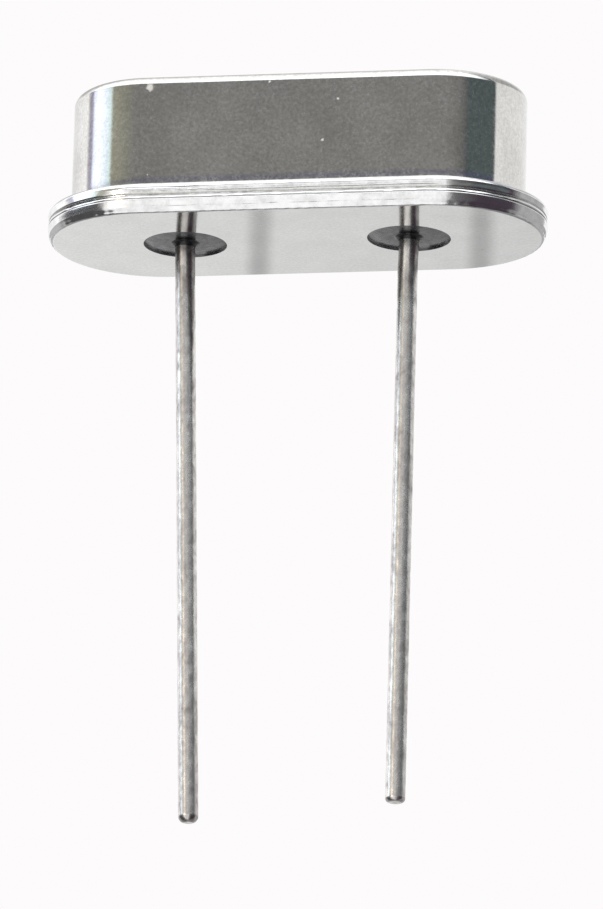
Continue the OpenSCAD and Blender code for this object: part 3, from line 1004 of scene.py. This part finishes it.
# %% Directions in the room
world = bpy.data.worlds.new("room")
bpy.context.scene.world = world
world.use_nodes = True
tree = world.node_tree
tree.nodes.clear()
direction = add(tree, "ShaderNodeTexCoord").outputs["Generated"]
parts = add(tree, "ShaderNodeSeparateXYZ", {0: direction}).outputs
toward = calculate(tree, "MULTIPLY", parts["Y"], -1.0)
azimuth = calculate(tree, "ARCTAN2", parts["X"], toward)
elevation = calculate(tree, "ARCSINE", parts["Z"])
turned = rescale(tree, azimuth, -math.pi, math.pi)
lifted = rescale(tree, elevation, -math.pi / 2, math.pi / 2)


def round_ramp(stops):
    """Light round the part: stops are (degrees from -180 to 180, light)."""
    return ramp(tree, turned, [((angle + 180) / 360, light) for angle, light in stops])


def height_ramp(stops):
    """Light from below to above: stops are (degrees from -90 to 90, light)."""
    return ramp(tree, lifted, [((angle + 90) / 180, light) for angle, light in stops])


print(len(tree.nodes), "nodes give the room its directions")

# %% [markdown]
# ### Light at the height of the part
#
# From behind and round by the left: pale paper, its dim corner, a bright bluish
# window, then the dark room in front of the part, darkest at its right, and
# from the right end on the pale paper again. The ramp is written as radiance,
# so 1 is white paper in full light.

# %% Ring of light
ring = round_ramp([
    (-180, 1.03), (-146, 0.94), (-130, (1.08, 1.08, 1.09)), (-114, (1.25, 1.25, 1.26)),
    (-103, 1.35), (-98, (0.55, 0.53, 0.57)), (-92, (0.5, 0.47, 0.68)),
    (-89, (1.4, 1.5, 1.75)), (-80, (1.8, 1.9, 2.0)), (-66, (1.4, 1.55, 1.75)),
    (-59, (1.1, 1.35, 1.35)), (-56, (0.48, 0.47, 0.37)), (-36, (0.37, 0.37, 0.31)),
    (-22, (0.3, 0.3, 0.288)), (20, (0.3, 0.295, 0.282)), (32, (0.24, 0.24, 0.225)),
    (41, (0.18, 0.18, 0.175)), (46, (0.115, 0.142, 0.142)), (86, (0.115, 0.142, 0.142)),
    (88.5, 1.1), (110, 1.06), (180, 1.03),
])
violet_shade = (0.09, 0.08, 0.22)
in_front = round_ramp([(-180, 0), (-104, 0), (-96, 1), (86, 1), (90, 0), (180, 0)])
shade = height_ramp([
    (-90, 0), (19.6, 0), (20.8, 0.42), (22.2, 0.42), (23.4, 0.1), (25, 0), (90, 0),
])
room_light = blend(tree, ring, violet_shade, calculate(tree, "MULTIPLY", in_front, shade))
print("ring of light, with a violet shade over the dark front")

# %% [markdown]
# ### Light from overhead
#
# A bright ceiling begins a third of the way up in front, which the drawn bend
# and the rounded edges mirror. Behind the part it begins higher. Towards the two
# ends it is dimmed by up to half, so that the ends of the flange stay grey.

# %% Ceiling
CEILING_FRONT, CEILING_BEHIND = 24.5, 45
BLACK = (0.0, 0.0, 0.0)
dome = height_ramp([(-90, 2.0), (40, (1.93, 1.98, 2.04)), (66, 1.75), (90, 1.3)])
overhead = height_ramp([(-90, 0), (CEILING_FRONT, 0), (28, 1), (90, 1)])
overhead_behind = height_ramp([(-90, 0), (CEILING_BEHIND, 0), (80, 0.8), (90, 0.8)])
open_front = round_ramp([(-180, 0), (-104, 0), (-96, 1), (64, 1), (82, 0), (180, 0)])
room_light = blend(tree, room_light, dome, blend(tree, overhead_behind, overhead, open_front))

at_ends = round_ramp([
    (-180, 0.3), (-165, 0.7), (-122, 0.7), (-110, 0), (84, 0), (92, 1), (138, 1), (165, 0.3),
    (180, 0.3),
])
dim = height_ramp([(-90, 0), (22, 0), (28, 0.5), (64, 0.5), (84, 0)])
room_light = blend(tree, room_light, BLACK, calculate(tree, "MULTIPLY", dim, at_ends))
print("ceiling from", CEILING_FRONT, "degrees up in front and", CEILING_BEHIND, "behind")

# %% [markdown]
# ### Light from underfoot
#
# The table shows in the lower edges and the underside. It is pale in front,
# dark to both sides and grey behind, with one pale patch, and darkens further
# down there. It meets the room at a soft line a few degrees up, higher at the
# right end, where the paper curves up.

# %% Table
HORIZON_BLUR = 0.8
below = round_ramp([
    (-180, 0.475), (-163, 1.19), (-158, 0.52), (-112, 0.52), (-101, 0.08), (-52, 0.08),
    (-44, 1.1), (16, 1.1), (22, 0.16), (50, (0.06, 0.045, 0.06)), (92, (0.06, 0.045, 0.06)),
    (104, 0.45), (172, 0.45), (180, 0.475),
])
deep = height_ramp([(-90, 0.25), (-80, 0.42), (-36, 0.42), (-22, 0), (90, 0)])
behind = calculate(tree, "SUBTRACT", 1.0, in_front)
below = blend(tree, below, BLACK, calculate(tree, "MULTIPLY", deep, behind))
horizon = round_ramp([(angle, (degrees_up + 90) / 180) for angle, degrees_up in (
    (-180, 7.5), (-52, 7.5), (-46, 10.5), (16, 10.5), (22, 6.5), (84, 6.5), (88, 16.4),
    (150, 16.4), (160, 7.5), (180, 7.5),
)])
above = calculate(tree, "SUBTRACT", lifted, horizon)
underfoot = rescale(tree, above, -HORIZON_BLUR / 180, HORIZON_BLUR / 180, 1.0, 0.0)
room_light = blend(tree, room_light, below, underfoot)

room = add(tree, "ShaderNodeBackground", {"Color": room_light}, {"Strength": 1.0})
plain = add(tree, "ShaderNodeBackground", values={"Color": linear("#fdfbfc"), "Strength": 1.0})
seen = add(tree, "ShaderNodeLightPath").outputs["Is Camera Ray"]
both = add(tree, "ShaderNodeMixShader", {0: seen, 1: room.outputs[0], 2: plain.outputs[0]})
add(tree, "ShaderNodeOutputWorld", {"Surface": both.outputs[0]})
print("room finished with", len(tree.nodes), "nodes")

# %% [markdown]
# ## Key light
#
# One small warm lamp, nearly level with the part, at the front left. It adds a
# crisp glint to the worn edge and the tin, which the wide room alone can't give.

# %% Key light
KEY_AZIMUTH, KEY_ELEVATION, KEY_DISTANCE = -32, 3, 0.6
KEY_WIDTH, KEY_POWER, KEY_COLOUR = 0.07, 0.28, "#ffe6c6"


def aimed_axes(azimuth_deg, elevation_deg):
    """Right, up and back axes of an object that looks at the part.

    back = (sin a cos e, -cos a cos e, sin e) points from the part to the object,
    with a the angle to the right of the front and e the angle up.
    """
    a, e = math.radians(azimuth_deg), math.radians(elevation_deg)
    back = np.array([math.sin(a) * math.cos(e), -math.cos(a) * math.cos(e), math.sin(e)])
    right = np.array([math.cos(a), math.sin(a), 0.0])
    return right, np.cross(back, right), back


def stand(thing, right, up, back, where):
    """Links an object and puts it at a place in metres, with the given axes."""
    matrix = np.eye(4)
    matrix[:3] = np.column_stack([right, up, back, where])
    thing.matrix_world = Matrix(matrix.tolist())
    bpy.context.scene.collection.objects.link(thing)
    print(thing.name, "at", np.round(where / MM, 1).tolist(), "mm")


lamp = bpy.data.lights.new("key_light", "AREA")
lamp.shape = "DISK"
lamp.size = KEY_WIDTH
lamp.energy = KEY_POWER
lamp.color = linear(KEY_COLOUR)[:3]
key = bpy.data.objects.new("key_light", lamp)
key.visible_camera = False
right, up, back = aimed_axes(KEY_AZIMUTH, KEY_ELEVATION)
stand(key, right, up, back, back * KEY_DISTANCE)

# %% [markdown]
# ## Camera
#
# A long lens 20 cm away and 6 cm below the base, turned ten degrees to the right
# of the front and looking up. How many millimetres the picture's height spans
# at the part gives the lens: sensor times distance over that height.

# %% Camera
CAMERA_AZIMUTH, CAMERA_ELEVATION, CAMERA_ROLL = 10.08, -16.55, 1.53
CAMERA_DISTANCE, PICTURE_HEIGHT, SENSOR = 200.0, 19.4355, 36.0
AIM_HEIGHT, AIM_RIGHT, AIM_DOWN = -4.0, 0.201, 0.7462
right, up, back = aimed_axes(CAMERA_AZIMUTH, CAMERA_ELEVATION)
roll = math.radians(CAMERA_ROLL)
rolled_right = right * math.cos(roll) + up * math.sin(roll)
rolled_up = up * math.cos(roll) - right * math.sin(roll)
aim = np.array([0, 0, AIM_HEIGHT]) + rolled_right * AIM_RIGHT - rolled_up * AIM_DOWN
camera_data = bpy.data.cameras.new("camera")
camera_data.sensor_width = SENSOR
camera_data.lens = SENSOR * CAMERA_DISTANCE / PICTURE_HEIGHT
camera_data.clip_start, camera_data.clip_end = 0.005, 20.0
camera = bpy.data.objects.new("camera", camera_data)
stand(camera, rolled_right, rolled_up, back, (aim + back * CAMERA_DISTANCE) * MM)
bpy.context.scene.camera = camera
bpy.context.scene.view_settings.view_transform = "Standard"
print("lens", round(camera_data.lens, 1), "mm")
